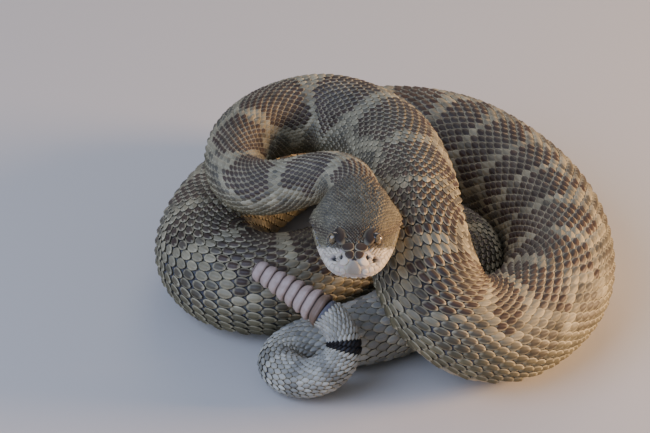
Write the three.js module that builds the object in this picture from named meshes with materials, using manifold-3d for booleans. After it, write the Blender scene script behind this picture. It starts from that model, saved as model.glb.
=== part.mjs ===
// Western diamondback rattlesnake, coiled with its neck drawn back and its rattle raised.
// Millimetres, +Z up. The head looks along -Y. The origin is on the floor, in the middle of the coil.
import * as THREE from "three";
import * as BufferGeometryUtils from "three/addons/utils/BufferGeometryUtils.js";
import Module from "manifold-3d";

// Driving dimensions
const HEAD_WIDTH = 37;
const BODY_WIDTH = 46;
const GAP = 0.3;
const RING_SIDES = 22;
const RING_STEP = 6;
const HEAD_SIDES = 36;
const WIDTH_RATIO = 1.03;
const HEIGHT_RATIO = 0.97;
const EYE_RADIUS = 2.7;
const RATTLE_SEGMENTS = 8;
const RATTLE_BASE_WIDTH = 15;
const RATTLE_TIP_WIDTH = 8.5;
const CENTRE = [1, 2];

// The line that the backbone follows, from the snout to the end of the tail, by stretch
const ROUTE = {
  head: [[-13.5, -109.5, 78.5], [-13, -97, 79], [-12.5, -84, 79.5], [-12.5, -71.5, 80]],
  neck: [[-12, -60, 81], [-14.5, -49, 83], [-24, -42, 81], [-38, -38, 73.5]],
  leftTurn: [[-56, -28, 65.5], [-64, -12, 64], [-57, 23, 64]],
  archTop: [[-28, 40, 64], [-1, 20, 64]],
  column: [[10, -14, 63], [13, -51, 60], [15, -67, 54], [21, -77, 42]],
  frontBend: [[32, -79, 30], [48, -73, 22.5], [72, -45, 22]],
  rightSide: [[78, -10, 22], [73, 26, 22], [58, 58, 22]],
  back: [[34, 85, 22], [-1, 92, 22], [-33, 76, 22]],
  leftSide: [[-56, 49, 22], [-72, 18, 22], [-77, -6, 22]],
  frontLeft: [[-75, -20, 22], [-66, -31.5, 21.5], [-52, -36, 21], [-36, -32, 20.5], [-20, -21, 20]],
  innerTurn: [[3, 6, 18], [17, 12, 17], [30, 8, 16.5], [38, -4, 16], [36, -20, 15.5], [22, -39, 15]],
  vent: [[5, -53, 14], [-11, -61, 13], [-27, -63, 11]],
  tail: [
    [-39, -66, 10], [-46.5, -74, 9], [-43, -84, 9], [-33, -90, 9], [-20, -91, 16], [-15, -87, 25],
    [-19, -81, 32], [-25, -77, 35],
  ],
};
const RATTLE_TIP = [-54, -56, 43];

// Half the body's width, by distance behind the snout
const GIRTH = [
  [50, 10.3], [75, 10.5], [95, 11.2], [112, 12.1], [130, 12.8], [165, 15], [199, 17.6], [234, 18.9],
  [270, 19.6], [305, 20.2], [336, 21.5], [375, 22.8], [430, BODY_WIDTH / 2], [519, BODY_WIDTH / 2],
  [662, 22.5], [750, 22.3], [801, 20.6], [837, 18.8], [884, 16.3], [938, 14.8], [953, 13.6], [971, 11.3],
  [986, 9.3], [1006, 8.6], [1023, 8.1], [1040, 7],
];
// How far the back leans over, in degrees, by distance behind the snout
const LEAN = [
  [50, 0], [60, -16], [72, -34], [90, -42], [104, -32], [120, -6], [135, 12], [174, 21], [209, 24],
  [247, 3], [283, -14], [308, -3], [335, 0], [412, -6], [466, -27], [514, -30], [700, 0],
];

// The distances behind the snout where one length of the body meets the next
const NECK_START = 50;
const LENGTHS = 13;
const TAIL_START = 936;
const TAIL_MIDDLE = 972;

// Head sections: behind the snout, half the crown, crown height, half width, height of the lip's
// widest line, depth of the chin
const HEAD_SECTIONS = [
  [0, 3, 3.9, 6.2, -1.8, -5.2],
  [1, 3.9, 4.7, 7.8, -2, -5.9],
  [2.5, 4.6, 5.4, 9.3, -2.2, -6.6],
  [5, 5.5, 6.2, 11.2, -2.4, -7.4],
  [8, 6.5, 6.9, 12.6, -2.5, -8.1],
  [12, 7.6, 7.6, 14, -2.6, -8.7],
  [16, 8.3, 8.1, 15.2, -2.7, -9.2],
  [20, 9.2, 8.5, 16.2, -2.6, -9.6],
  [25, 10.3, 9, 17.2, -2.3, -9.9],
  [30, 11, 9.4, 18, -1.8, -10.1],
  [35, 11.2, 9.8, HEAD_WIDTH / 2, -1.2, -10.3],
  [39, 10.2, 10, 17.3, -0.8, -10.3],
  [43, 8.8, 10.1, 14.9, -0.5, -10.3],
  [47, 7.6, 10.1, 12.6, -0.2, -10.2],
  [51, 6.8, 10, 10.8, 0, -10],
];
const CROWN_DROP = 0.1;
// Height of the mouth line, by distance behind the snout
const MOUTH_LINE = [[-5, -3.1], [5, -3.4], [12, -3.9], [20, -4.2], [30, -3.6], [40, -2.6]];
const MOUTH_LENGTH = 34;
const JAW_INSET = 0.95;

const wasm = await Module();
wasm.setup();

function lookUp(table, at, column = 1) {
  if (at <= table[0][0]) return table[0][column];
  for (let i = 1; i < table.length; i += 1) {
    if (at <= table[i][0]) {
      const share = (at - table[i - 1][0]) / (table[i][0] - table[i - 1][0]);
      return THREE.MathUtils.lerp(table[i - 1][column], table[i][column], share);
    }
  }
  return table[table.length - 1][column];
}

// The backbone as points at an even step, evened out so that no bend is sharp
const STEP = 2;
const EVEN_REACH = 4;
const EVEN_PASSES = 2;

function evened(points) {
  return points.map((_, i) => {
    const reach = Math.min(EVEN_REACH, i, points.length - 1 - i);
    const sum = new THREE.Vector3();
    for (let k = i - reach; k <= i + reach; k += 1) {
      sum.add(points[k]);
    }
    return sum.divideScalar(2 * reach + 1);
  });
}

function makeBackbone() {
  const stops = Object.values(ROUTE).flat();
  const corners = stops.map((p) => new THREE.Vector3(p[0] - CENTRE[0], p[1] - CENTRE[1], p[2]));
  const curve = new THREE.CatmullRomCurve3(corners, false, "centripetal");
  curve.arcLengthDivisions = 4000;
  const count = Math.round(curve.getLength() / STEP);
  let points = curve.getSpacedPoints(count);
  for (let pass = 0; pass < EVEN_PASSES; pass += 1) {
    points = evened(points);
  }
  const distance = [0];
  for (let i = 1; i < points.length; i += 1) {
    distance.push(distance[i - 1] + points[i].distanceTo(points[i - 1]));
  }
  return { points, distance };
}

const backbone = makeBackbone();
const TAIL_END = backbone.distance[backbone.distance.length - 1];

function pointAt(at) {
  const { points, distance } = backbone;
  let i = distance.findIndex((d) => d >= at);
  if (i < 1) i = at <= 0 ? 1 : points.length - 1;
  const share = (at - distance[i - 1]) / (distance[i] - distance[i - 1]);
  return points[i - 1].clone().lerp(points[i], share);
}

// Place, direction towards the tail, the back's direction and the side's direction
function frameAt(at) {
  const origin = pointAt(at);
  const along = pointAt(at + STEP).sub(pointAt(at - STEP)).normalize();
  const back = new THREE.Vector3(0, 0, 1);
  back.addScaledVector(along, -along.z).normalize();
  back.applyAxisAngle(along, THREE.MathUtils.degToRad(lookUp(LEAN, at)));
  const side = new THREE.Vector3().crossVectors(along, back);
  return { origin, along, back, side };
}

function place(frame, sideways, upwards) {
  const p = frame.origin.clone();
  p.addScaledVector(frame.side, sideways);
  return p.addScaledVector(frame.back, upwards);
}

// A closed solid through a list of rings with the same number of points
function loft(rings) {
  const sides = rings[0].length;
  const positions = rings.flat().flatMap((p) => [p.x, p.y, p.z]);
  const index = [];
  for (let r = 0; r + 1 < rings.length; r += 1) {
    for (let k = 0; k < sides; k += 1) {
      const next = (k + 1) % sides;
      const a = r * sides + k;
      const b = r * sides + next;
      index.push(a, b, a + sides, b, b + sides, a + sides);
    }
  }
  for (const [ring, flip] of [[0, false], [rings.length - 1, true]]) {
    const middle = new THREE.Vector3();
    rings[ring].forEach((p) => middle.addScaledVector(p, 1 / sides));
    const hub = positions.length / 3;
    positions.push(middle.x, middle.y, middle.z);
    for (let k = 0; k < sides; k += 1) {
      const a = ring * sides + k;
      const b = ring * sides + ((k + 1) % sides);
      index.push(...(flip ? [hub, a, b] : [hub, b, a]));
    }
  }
  const geometry = new THREE.BufferGeometry();
  geometry.setAttribute("position", new THREE.Float32BufferAttribute(positions, 3));
  geometry.setIndex(index);
  return geometry;
}

function toSolid(geometry) {
  const bare = geometry.clone();
  bare.deleteAttribute("normal");
  bare.deleteAttribute("uv");
  const merged = BufferGeometryUtils.mergeVertices(bare, 1e-4);
  const vertProperties = Float32Array.from(merged.attributes.position.array);
  const triVerts = Uint32Array.from(merged.index.array);
  return new wasm.Manifold(new wasm.Mesh({ numProp: 3, vertProperties, triVerts }));
}

function largest(solid) {
  const pieces = solid.decompose();
  return pieces.reduce((best, piece) => (piece.volume() > best.volume() ? piece : best));
}

function toGeometry(solid) {
  const mesh = largest(solid).getMesh();
  const geometry = new THREE.BufferGeometry();
  const positions = Float32Array.from(mesh.vertProperties);
  geometry.setAttribute("position", new THREE.BufferAttribute(positions, 3));
  geometry.setIndex(new THREE.BufferAttribute(Uint32Array.from(mesh.triVerts), 1));
  geometry.computeVertexNormals();
  return geometry;
}

const snake = new THREE.Group();
snake.name = "rattlesnake";

function addMesh(name, geometry, look) {
  const mesh = new THREE.Mesh(geometry, new THREE.MeshStandardMaterial(look));
  mesh.name = name;
  snake.add(mesh);
}

const SKIN = { color: 0x7d725f, roughness: 0.62, metalness: 0 };
const TAIL_SKIN = { color: 0x9c9a92, roughness: 0.62, metalness: 0 };
const EYE = { color: 0x8c7238, roughness: 0.1, metalness: 0 };
const HORN = { color: 0xa98f7c, roughness: 0.45, metalness: 0 };

// Body: round sections, pressed flat where they rest on the floor
function bodyRing(at) {
  const frame = frameAt(at);
  const radius = lookUp(GIRTH, at);
  const ring = [];
  for (let k = 0; k < RING_SIDES; k += 1) {
    const angle = (k / RING_SIDES) * 2 * Math.PI;
    const sideways = radius * WIDTH_RATIO * Math.sin(angle);
    const p = place(frame, sideways, radius * HEIGHT_RATIO * Math.cos(angle));
    p.z = Math.max(p.z, 0);
    ring.push(p);
  }
  return ring;
}

function bodyLength(from, to) {
  const steps = Math.max(2, Math.round((to - from) / RING_STEP));
  const rings = [];
  for (let i = 0; i <= steps; i += 1) {
    rings.push(bodyRing(from + ((to - from) * i) / steps));
  }
  return toGeometry(toSolid(loft(rings)));
}

// Head: a broad flat crown, cheeks that widen to the jaw's corners, and a blunt snout
function headOutline(at) {
  const [crown, top, half, widest, chin] = [1, 2, 3, 4, 5].map((c) => lookUp(HEAD_SECTIONS, at, c));
  const neck = THREE.MathUtils.smoothstep(at, 39, 51);
  const drop = THREE.MathUtils.lerp(CROWN_DROP, 0.2, neck) * (top - widest);
  const cheek = THREE.MathUtils.lerp(0.5, 0.78, neck);
  const mouth = lookUp(MOUTH_LINE, at);
  const inset = THREE.MathUtils.lerp(JAW_INSET, 0.98, neck);
  const halfOutline = [
    [0, top],
    [crown * 0.55, top - drop * 0.2],
    [crown, top - drop],
    [THREE.MathUtils.lerp(crown, half, cheek), (top + widest) / 2],
    [half, widest],
    [half * inset, Math.min(mouth, widest) - 1.3],
    [half * 0.8, THREE.MathUtils.lerp(widest, chin, 0.68)],
    [half * 0.42, THREE.MathUtils.lerp(widest, chin, 0.95)],
    [0, chin],
  ];
  const mirrored = halfOutline.slice(1, -1).reverse().map(([x, y]) => [-x, y]);
  const all = [...halfOutline, ...mirrored].map(([x, y]) => new THREE.Vector3(x, y, 0));
  return new THREE.CatmullRomCurve3(all, true, "centripetal");
}

function headRing(at, shrink = 1) {
  const frame = frameAt(Math.max(at, 0.5));
  frame.origin.copy(pointAt(at));
  const outline = headOutline(Math.max(at, 0));
  const ring = [];
  for (let k = 0; k < HEAD_SIDES; k += 1) {
    const p = outline.getPoint(k / HEAD_SIDES);
    ring.push(place(frame, p.x * shrink, -1 + (p.y + 1) * shrink));
  }
  return ring;
}

// The width of the head's side at a height, for setting eyes, nostrils and pits on it
function sideAt(at, height) {
  const points = headOutline(at).getPoints(200);
  const right = points.filter((p) => p.x > 0);
  right.sort((a, b) => Math.abs(a.y - height) - Math.abs(b.y - height));
  return right[0].x;
}

function makeHeadSolid() {
  const rings = [headRing(-0.7, 0.62)];
  const stops = [
    0, 1, 2.5, 4, 6, 8, 10, 12, 14, 16, 18.5, 21, 23.5, 26, 29, 32, 35, 37, 39, 41, 43, 45, 47.5,
  ];
  for (const at of stops) {
    rings.push(headRing(at));
  }
  rings.push(headRing(NECK_START - GAP));
  return toSolid(loft(rings));
}

// A block below the mouth line, whose top can be lifted to leave the gap between the lips
function jawBlock(lift, to) {
  const reach = 30;
  const rings = [];
  for (let at = -4; at <= to; at += (to + 4) / 12) {
    const frame = frameAt(Math.max(at, 0.5));
    frame.origin.copy(pointAt(at));
    const top = lookUp(MOUTH_LINE, at) + lift;
    const corners = [[reach, top], [reach, -reach], [-reach, -reach], [-reach, top]];
    rings.push(corners.map(([x, y]) => place(frame, x, y)));
  }
  return toSolid(loft(rings));
}

// An ellipsoid on the head: how far back, sideways and up it sits, its half sizes and its turn
function headBead(at, sideways, upwards, sizes, turnOut = 0, turnIn = 0) {
  const frame = frameAt(at);
  const bead = new THREE.SphereGeometry(1, 16, 10);
  bead.scale(sizes[0], sizes[1], sizes[2]);
  bead.rotateY(turnOut);
  bead.rotateZ(turnIn);
  const basis = new THREE.Matrix4().makeBasis(frame.side, frame.along, frame.back);
  bead.applyMatrix4(basis.setPosition(place(frame, sideways, upwards)));
  return toSolid(bead);
}

const EYE_AT = { back: 12.5, up: 5.2, sunk: 0.9 };
const BROW_AT = { back: 11.5, side: 6, up: 7.4 };
const BROW_SIZE = [2.8, 4.7, 1.1];
const NOSTRIL_AT = { back: 2.6, up: 3.4 };
const PIT_AT = { back: 4.2, up: 0.4 };

let headSolid = makeHeadSolid();
const lowerJaw = headSolid.intersect(jawBlock(0, MOUTH_LENGTH));
headSolid = headSolid.subtract(jawBlock(GAP, MOUTH_LENGTH + GAP));
for (const hand of [1, -1]) {
  const brow = headBead(BROW_AT.back, hand * BROW_AT.side, BROW_AT.up, BROW_SIZE, hand * 0.22, hand * 0.16);
  headSolid = headSolid.add(brow);
  const eyeSide = hand * (sideAt(EYE_AT.back, EYE_AT.up) - EYE_AT.sunk);
  const socket = EYE_RADIUS + GAP;
  headSolid = headSolid.subtract(headBead(EYE_AT.back, eyeSide, EYE_AT.up, [socket, socket, socket]));
  const nostrilSide = hand * sideAt(NOSTRIL_AT.back, NOSTRIL_AT.up);
  const nostril = headBead(NOSTRIL_AT.back, nostrilSide, NOSTRIL_AT.up, [1.3, 0.8, 0.8], 0, -hand * 0.6);
  headSolid = headSolid.subtract(nostril);
  const pitSide = hand * sideAt(PIT_AT.back, PIT_AT.up);
  headSolid = headSolid.subtract(headBead(PIT_AT.back, pitSide, PIT_AT.up, [1.7, 1.2, 1.1], 0, -hand * 0.5));
  const eye = headBead(EYE_AT.back, eyeSide, EYE_AT.up, [EYE_RADIUS, EYE_RADIUS, EYE_RADIUS]);
  addMesh(hand > 0 ? "eye_left" : "eye_right", toGeometry(eye), EYE);
}
addMesh("head", toGeometry(headSolid), SKIN);
addMesh("lower_jaw", toGeometry(lowerJaw), SKIN);

// Neck and body in even lengths, then the tail in two
const each = (TAIL_START - NECK_START) / LENGTHS;
for (let i = 0; i < LENGTHS; i += 1) {
  const from = NECK_START + each * i;
  addMesh(i === 0 ? "neck" : `body_${i}`, bodyLength(from, from + each - GAP), SKIN);
}

addMesh("tail_base", bodyLength(TAIL_START, TAIL_MIDDLE - GAP), SKIN);
addMesh("tail_end", bodyLength(TAIL_MIDDLE, TAIL_END), TAIL_SKIN);

// Rattle: horn segments, each a swelling with a waist before the next, smaller towards the tip
function makeRattle() {
  const end = frameAt(TAIL_END - STEP);
  const base = pointAt(TAIL_END).addScaledVector(end.along, GAP + 0.4);
  const tip = new THREE.Vector3(RATTLE_TIP[0] - CENTRE[0], RATTLE_TIP[1] - CENTRE[1], RATTLE_TIP[2]);
  const along = tip.clone().sub(base);
  const length = along.length();
  along.normalize();
  const towardsViewer = new THREE.Vector3(0, -0.85, 0.53);
  const thin = towardsViewer.addScaledVector(along, -towardsViewer.dot(along)).normalize();
  const broad = new THREE.Vector3().crossVectors(along, thin);
  const pitch = length / RATTLE_SEGMENTS;
  const swell = [[0, 0.78], [0.12, 0.93], [0.35, 1], [0.62, 0.93], [0.86, 0.78]];
  const rings = [];
  for (let segment = 0; segment < RATTLE_SEGMENTS; segment += 1) {
    for (const [share, swelling] of swell) {
      const at = (segment + share) * pitch;
      const half = (THREE.MathUtils.lerp(RATTLE_BASE_WIDTH, RATTLE_TIP_WIDTH, at / length) / 2) * swelling;
      const middle = base.clone().addScaledVector(along, at);
      const ring = [];
      for (let k = 0; k < 16; k += 1) {
        const angle = (k / 16) * 2 * Math.PI;
        const waist = 1 - 0.12 * Math.cos(angle) ** 6;
        const p = middle.clone().addScaledVector(broad, half * Math.sin(angle));
        ring.push(p.addScaledVector(thin, half * 0.68 * waist * Math.cos(angle)));
      }
      rings.push(ring);
    }
  }
  return toGeometry(toSolid(loft(rings)));
}
addMesh("rattle", makeRattle(), HORN);

export default snake;
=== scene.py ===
import math

import bpy
import numpy as np
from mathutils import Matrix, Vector
from mathutils.bvhtree import BVHTree


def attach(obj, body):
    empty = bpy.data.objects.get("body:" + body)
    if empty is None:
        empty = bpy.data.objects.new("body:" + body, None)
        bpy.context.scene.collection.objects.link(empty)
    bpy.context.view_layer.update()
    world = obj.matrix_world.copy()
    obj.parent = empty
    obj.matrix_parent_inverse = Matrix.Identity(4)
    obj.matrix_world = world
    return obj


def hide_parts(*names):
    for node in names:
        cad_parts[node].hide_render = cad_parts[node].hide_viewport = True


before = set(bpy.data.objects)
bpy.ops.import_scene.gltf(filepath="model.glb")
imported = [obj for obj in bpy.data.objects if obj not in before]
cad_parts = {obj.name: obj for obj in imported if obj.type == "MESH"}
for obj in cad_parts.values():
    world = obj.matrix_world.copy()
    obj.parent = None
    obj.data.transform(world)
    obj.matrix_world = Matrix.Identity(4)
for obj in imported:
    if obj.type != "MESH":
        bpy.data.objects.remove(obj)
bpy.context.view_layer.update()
MM = 0.001
rng = np.random.default_rng(7)

# The backbone
# The whole snake hangs on one line from the snout to the end of the tail. It is laid through
# the coil: head, drawn-back neck, raised loop, front bend, outer ring, inner turn, tail.
ROUTE = {
    "head": [(-13.5, -109.5, 78.5), (-13, -97, 79), (-12.5, -84, 79.5), (-12.5, -71.5, 80)],
    "neck": [(-12, -60, 81), (-14.5, -49, 83), (-24, -42, 81), (-38, -38, 73.5)],
    "left_turn": [(-56, -28, 65.5), (-64, -12, 64), (-57, 23, 64)],
    "arch_top": [(-28, 40, 64), (-1, 20, 64)],
    "column": [(10, -14, 63), (13, -51, 60), (15, -67, 54), (21, -77, 42)],
    "front_bend": [(32, -79, 30), (48, -73, 22.5), (72, -45, 22)],
    "right_side": [(78, -10, 22), (73, 26, 22), (58, 58, 22)],
    "back": [(34, 85, 22), (-1, 92, 22), (-33, 76, 22)],
    "left_side": [(-56, 49, 22), (-72, 18, 22), (-77, -6, 22)],
    "front_left": [(-75, -20, 22), (-66, -31.5, 21.5), (-52, -36, 21), (-36, -32, 20.5), (-20, -21, 20)],
    "inner_turn": [(3, 6, 18), (17, 12, 17), (30, 8, 16.5), (38, -4, 16), (36, -20, 15.5), (22, -39, 15)],
    "vent": [(5, -53, 14), (-11, -61, 13), (-27, -63, 11)],
    "tail": [
        (-39, -66, 10), (-46.5, -74, 9), (-43, -84, 9), (-33, -90, 9), (-20, -91, 16), (-15, -87, 25),
        (-19, -81, 32), (-25, -77, 35),
    ],
}
CENTRE = (1, 2, 0)
STEP = 2 * MM
EVEN_REACH = 4
EVEN_PASSES = 2


def spline(stops, per_span=60):
    """A centripetal curve through the stops, as close points."""
    ends = np.vstack([2 * stops[0] - stops[1], stops, 2 * stops[-1] - stops[-2]])
    points = []
    for p0, p1, p2, p3 in zip(ends, ends[1:], ends[2:], ends[3:]):
        t1 = math.sqrt(np.linalg.norm(p1 - p0))
        t2 = t1 + math.sqrt(np.linalg.norm(p2 - p1))
        t3 = t2 + math.sqrt(np.linalg.norm(p3 - p2))
        t = np.linspace(t1, t2, per_span, endpoint=False)[:, None]
        a1 = (t1 - t) / t1 * p0 + t / t1 * p1
        a2 = (t2 - t) / (t2 - t1) * p1 + (t - t1) / (t2 - t1) * p2
        a3 = (t3 - t) / (t3 - t2) * p2 + (t - t2) / (t3 - t2) * p3
        b1 = (t2 - t) / t2 * a1 + t / t2 * a2
        b2 = (t3 - t) / (t3 - t1) * a2 + (t - t1) / (t3 - t1) * a3
        points.append((t2 - t) / (t2 - t1) * b1 + (t - t1) / (t2 - t1) * b2)
    return np.vstack(points + [stops[-1:]])


def distances(points):
    """How far along the line of points each one is."""
    return np.concatenate([[0], np.cumsum(np.linalg.norm(np.diff(points, axis=0), axis=1))])


def evened(points):
    """The points, each drawn to the mean of its neighbours."""
    out = points.copy()
    last = len(points) - 1
    for i in range(len(points)):
        reach = min(EVEN_REACH, i, last - i)
        out[i] = points[i - reach:i + reach + 1].mean(axis=0)
    return out


stops = (np.array([p for part in ROUTE.values() for p in part]) - CENTRE) * MM
close = spline(stops)
close_at = distances(close)
even_at = np.linspace(0, close_at[-1], round(close_at[-1] / STEP) + 1)
BACKBONE = np.column_stack([np.interp(even_at, close_at, close[:, k]) for k in range(3)])
for _ in range(EVEN_PASSES):
    BACKBONE = evened(BACKBONE)
ALONG = distances(BACKBONE)
TAIL_END = ALONG[-1]

# Half the body's width and the lean of the back, by millimetres behind the snout
GIRTH = np.array([
    (50, 10.3), (75, 10.5), (95, 11.2), (112, 12.1), (130, 12.8), (165, 15), (199, 17.6), (234, 18.9),
    (270, 19.6), (305, 20.2), (336, 21.5), (375, 22.8), (430, 23), (519, 23), (662, 22.5), (750, 22.3),
    (801, 20.6), (837, 18.8), (884, 16.3), (938, 14.8), (953, 13.6), (971, 11.3), (986, 9.3), (1006, 8.6),
    (1023, 8.1), (1040, 7),
]) * MM
LEAN = np.array([
    (50, 0), (60, -16), (72, -34), (90, -42), (104, -32), (120, -6), (135, 12), (174, 21), (209, 24),
    (247, 3), (283, -14), (308, -3), (335, 0), (412, -6), (466, -27), (514, -30), (700, 0),
])
WIDTH_RATIO = 1.03
HEIGHT_RATIO = 0.97


def point_at(at):
    """Points on the backbone; before the snout and past the tail it runs on straight."""
    at = np.asarray(at, float)
    inside = np.clip(at, 0, TAIL_END)
    p = np.stack([np.interp(inside, ALONG, BACKBONE[:, k]) for k in range(3)], axis=-1)
    first = (BACKBONE[1] - BACKBONE[0]) / (ALONG[1] - ALONG[0])
    last = (BACKBONE[-1] - BACKBONE[-2]) / (ALONG[-1] - ALONG[-2])
    return p + np.minimum(at, 0)[..., None] * first + np.maximum(at - TAIL_END, 0)[..., None] * last


def frame_at(at):
    """Place, way to the tail, way to the back and way to the side, for an array of distances."""
    origin = point_at(at)
    along = point_at(at + STEP) - point_at(at - STEP)
    along /= np.linalg.norm(along, axis=-1, keepdims=True)
    back = np.array([0, 0, 1.0]) - along[..., 2:3] * along
    back /= np.linalg.norm(back, axis=-1, keepdims=True)
    side = np.cross(along, back)
    lean = np.radians(np.interp(at, LEAN[:, 0] * MM, LEAN[:, 1]))[..., None]
    back = back * np.cos(lean) + side * np.sin(lean)
    return origin, along, back, np.cross(along, back)


def girth(at):
    """Half the body's width at a distance."""
    return np.interp(at, GIRTH[:, 0], GIRTH[:, 1])


# The form of the head
# A broad, flat crown, cheeks that swell over the venom glands and a blunt snout. Sections are
# read as the reach from the backbone at an angle from the back, and run into the round neck.
HEAD_SECTIONS = np.array([
    (0, 3, 3.9, 6.2, -1.8, -5.2),
    (1, 3.9, 4.7, 7.8, -2, -5.9),
    (2.5, 4.6, 5.4, 9.3, -2.2, -6.6),
    (5, 5.5, 6.2, 11.2, -2.4, -7.4),
    (8, 6.5, 6.9, 12.6, -2.5, -8.1),
    (12, 7.6, 7.6, 14, -2.6, -8.7),
    (16, 8.3, 8.1, 15.2, -2.7, -9.2),
    (20, 9.2, 8.5, 16.2, -2.6, -9.6),
    (25, 10.3, 9, 17.2, -2.3, -9.9),
    (30, 11, 9.4, 18, -1.8, -10.1),
    (35, 11.2, 9.8, 18.5, -1.2, -10.3),
    (39, 10.2, 10, 17.3, -0.8, -10.3),
    (43, 8.8, 10.1, 14.9, -0.5, -10.3),
    (47, 7.6, 10.1, 12.6, -0.2, -10.2),
    (51, 6.8, 10, 10.8, 0, -10),
])
MOUTH_LINE = np.array([(-5, -3.1), (5, -3.4), (12, -3.9), (20, -4.2), (30, -3.6), (40, -2.6)])
MOUTH_LENGTH = 34
HEAD_END = 51
HEAD_STEP = 0.5
ANGLES = 720


def ease(value, low, high):
    """A smooth step from 0 at low to 1 at high."""
    share = np.clip((value - low) / (high - low), 0, 1)
    return share * share * (3 - 2 * share)


def head_reach(at_mm):
    """How far the head's side is from the backbone, at each of ANGLES angles from the back."""
    crown, top, half, widest, chin = [
        np.interp(at_mm, HEAD_SECTIONS[:, 0], HEAD_SECTIONS[:, c]) for c in (1, 2, 3, 4, 5)
    ]
    neck = ease(at_mm, 39, 51)
    drop = (0.1 + 0.1 * neck) * (top - widest)
    cheek = 0.5 + 0.28 * neck
    inset = 0.95 + 0.03 * neck
    mouth = np.interp(at_mm, MOUTH_LINE[:, 0], MOUTH_LINE[:, 1])
    right = [
        (0, top),
        (crown * 0.55, top - drop * 0.2),
        (crown, top - drop),
        (crown + (half - crown) * cheek, (top + widest) / 2),
        (half, widest),
        (half * inset, min(mouth, widest) - 1.3),
        (half * 0.8, widest + (chin - widest) * 0.68),
        (half * 0.42, widest + (chin - widest) * 0.95),
        (0, chin),
    ]
    left = [(-x, y) for x, y in right[-2:0:-1]]
    loop = np.array(right + left)
    turns = np.vstack([loop[-2:], loop, loop[:3]])
    line = spline(np.column_stack([turns, np.zeros(len(turns))]), 24)
    angle = np.unwrap(np.arctan2(line[:, 0], line[:, 1]))
    reach = np.hypot(line[:, 0], line[:, 1])
    order = np.argsort(angle)
    want = np.linspace(0, 2 * np.pi, ANGLES, endpoint=False)
    return np.interp(want, angle[order], reach[order])


head_at = np.arange(0, HEAD_END + HEAD_STEP, HEAD_STEP)
HEAD_REACH = np.array([head_reach(at_mm) for at_mm in head_at]) * MM


def reach_at(at, angle):
    """Reach of the outer form from the backbone, for arrays of distances and angles."""
    at, angle = np.broadcast_arrays(at, angle)
    radius = girth(at)
    sideways, upwards = np.sin(angle) / WIDTH_RATIO, np.cos(angle) / HEIGHT_RATIO
    round_reach = radius / np.hypot(sideways, upwards)
    row = np.clip(at / MM / HEAD_STEP, 0, len(head_at) - 1.001)
    low = row.astype(int)
    share = row - low
    column = (angle / (2 * np.pi) * ANGLES) % ANGLES
    left = column.astype(int) % ANGLES
    part = column - column.astype(int)
    right = (left + 1) % ANGLES
    near = HEAD_REACH[low, left] * (1 - part) + HEAD_REACH[low, right] * part
    far = HEAD_REACH[low + 1, left] * (1 - part) + HEAD_REACH[low + 1, right] * part
    head = near * (1 - share) + far * share
    tip = np.sqrt(np.clip(1 - (np.minimum(at, 0) / (0.9 * MM)) ** 2, 0.3, 1))
    blend = ease(at / MM, HEAD_END - 6, HEAD_END)
    return (head * (1 - blend) + round_reach * blend) * tip


def on_form(at, angle, lift=0.0):
    """A point on the outer form, lifted outwards, and the way outwards there."""
    origin, _, back, side = frame_at(np.asarray(at, float))
    sine, cosine = np.sin(angle)[..., None], np.cos(angle)[..., None]
    out = back * cosine + side * sine
    p = origin + out * (reach_at(at, angle) + lift)[..., None]
    p[..., 2] = np.maximum(p[..., 2], 0.05 * MM)
    return p, out


def mouth_angle(at):
    """The angle from the back at which the line of the mouth lies; behind it the angle runs on."""
    want = np.linspace(0.4 * np.pi, 0.8 * np.pi, 120)
    result = []
    for one in np.atleast_1d(at):
        inside = min(max(one, 0), MOUTH_LENGTH * MM)
        height = np.interp(inside / MM, MOUTH_LINE[:, 0], MOUTH_LINE[:, 1]) * MM
        heights = reach_at(np.full(120, inside), want) * np.cos(want)
        result.append(np.interp(-height, -heights, want))
    return np.array(result)


# Markings
# Diamondback pattern on skin and scales alike: dark six-sided blotches down the back, each with
# a border one scale wide of cream, duller spots on the flanks, and a pale tail with a black ring.
BLOTCHES = np.array([
    50, 76, 104, 137, 174, 210, 247, 281, 308, 335, 362, 388, 412, 439, 466, 490, 514, 541, 568, 595,
    622, 649, 676, 703, 730, 757, 784, 810, 836, 862, 888, 914,
]) * MM
TAIL_FROM = 925 * MM
BLACK_RING = (1034 * MM, 1036.5 * MM)
TAIL_BAND_PITCH = 15 * MM
BLOTCH_HALF = np.radians(61)
SPOT_AT = np.radians(83)
SPOT_HALF = np.radians(20)


def markings(at, angle):
    """Blotch, cream border and flank shares, from 0 to 1, at a distance and an angle."""
    angle = (angle + np.pi) % (2 * np.pi) - np.pi
    phase = np.interp(at, BLOTCHES, np.arange(len(BLOTCHES)))
    off = np.abs(phase - np.round(phase)) * 2
    out = np.abs(angle) / BLOTCH_HALF
    wobble = 0.07 * np.sin(9 * phase + 4 * angle) + 0.05 * np.sin(2.3 * phase - 7 * angle)
    edge = np.maximum(off * 0.98, off * 0.45 + out * 0.72) + wobble
    fades = (1 - ease(at, TAIL_FROM, TAIL_FROM + 25 * MM)) * ease(at, 40 * MM, 56 * MM)
    blotch = (1 - ease(edge, 0.72, 0.8)) * fades * (0.72 + 0.28 * ease(edge, 0.25, 0.62))
    border = ease(edge, 0.76, 0.84) * (1 - ease(edge, 0.96, 1.06)) * fades
    spot_off = np.abs((phase + 0.5) - np.round(phase + 0.5)) * 2
    spot_out = np.abs(np.abs(angle) - SPOT_AT) / SPOT_HALF
    spot = (1 - ease(np.hypot(spot_off * 1.6, spot_out), 0.7, 1.0)) * 0.35 * fades
    flank = ease(np.abs(angle), np.radians(55), np.radians(100))
    blotch = np.maximum(blotch, spot)
    return blotch, border, flank


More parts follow.
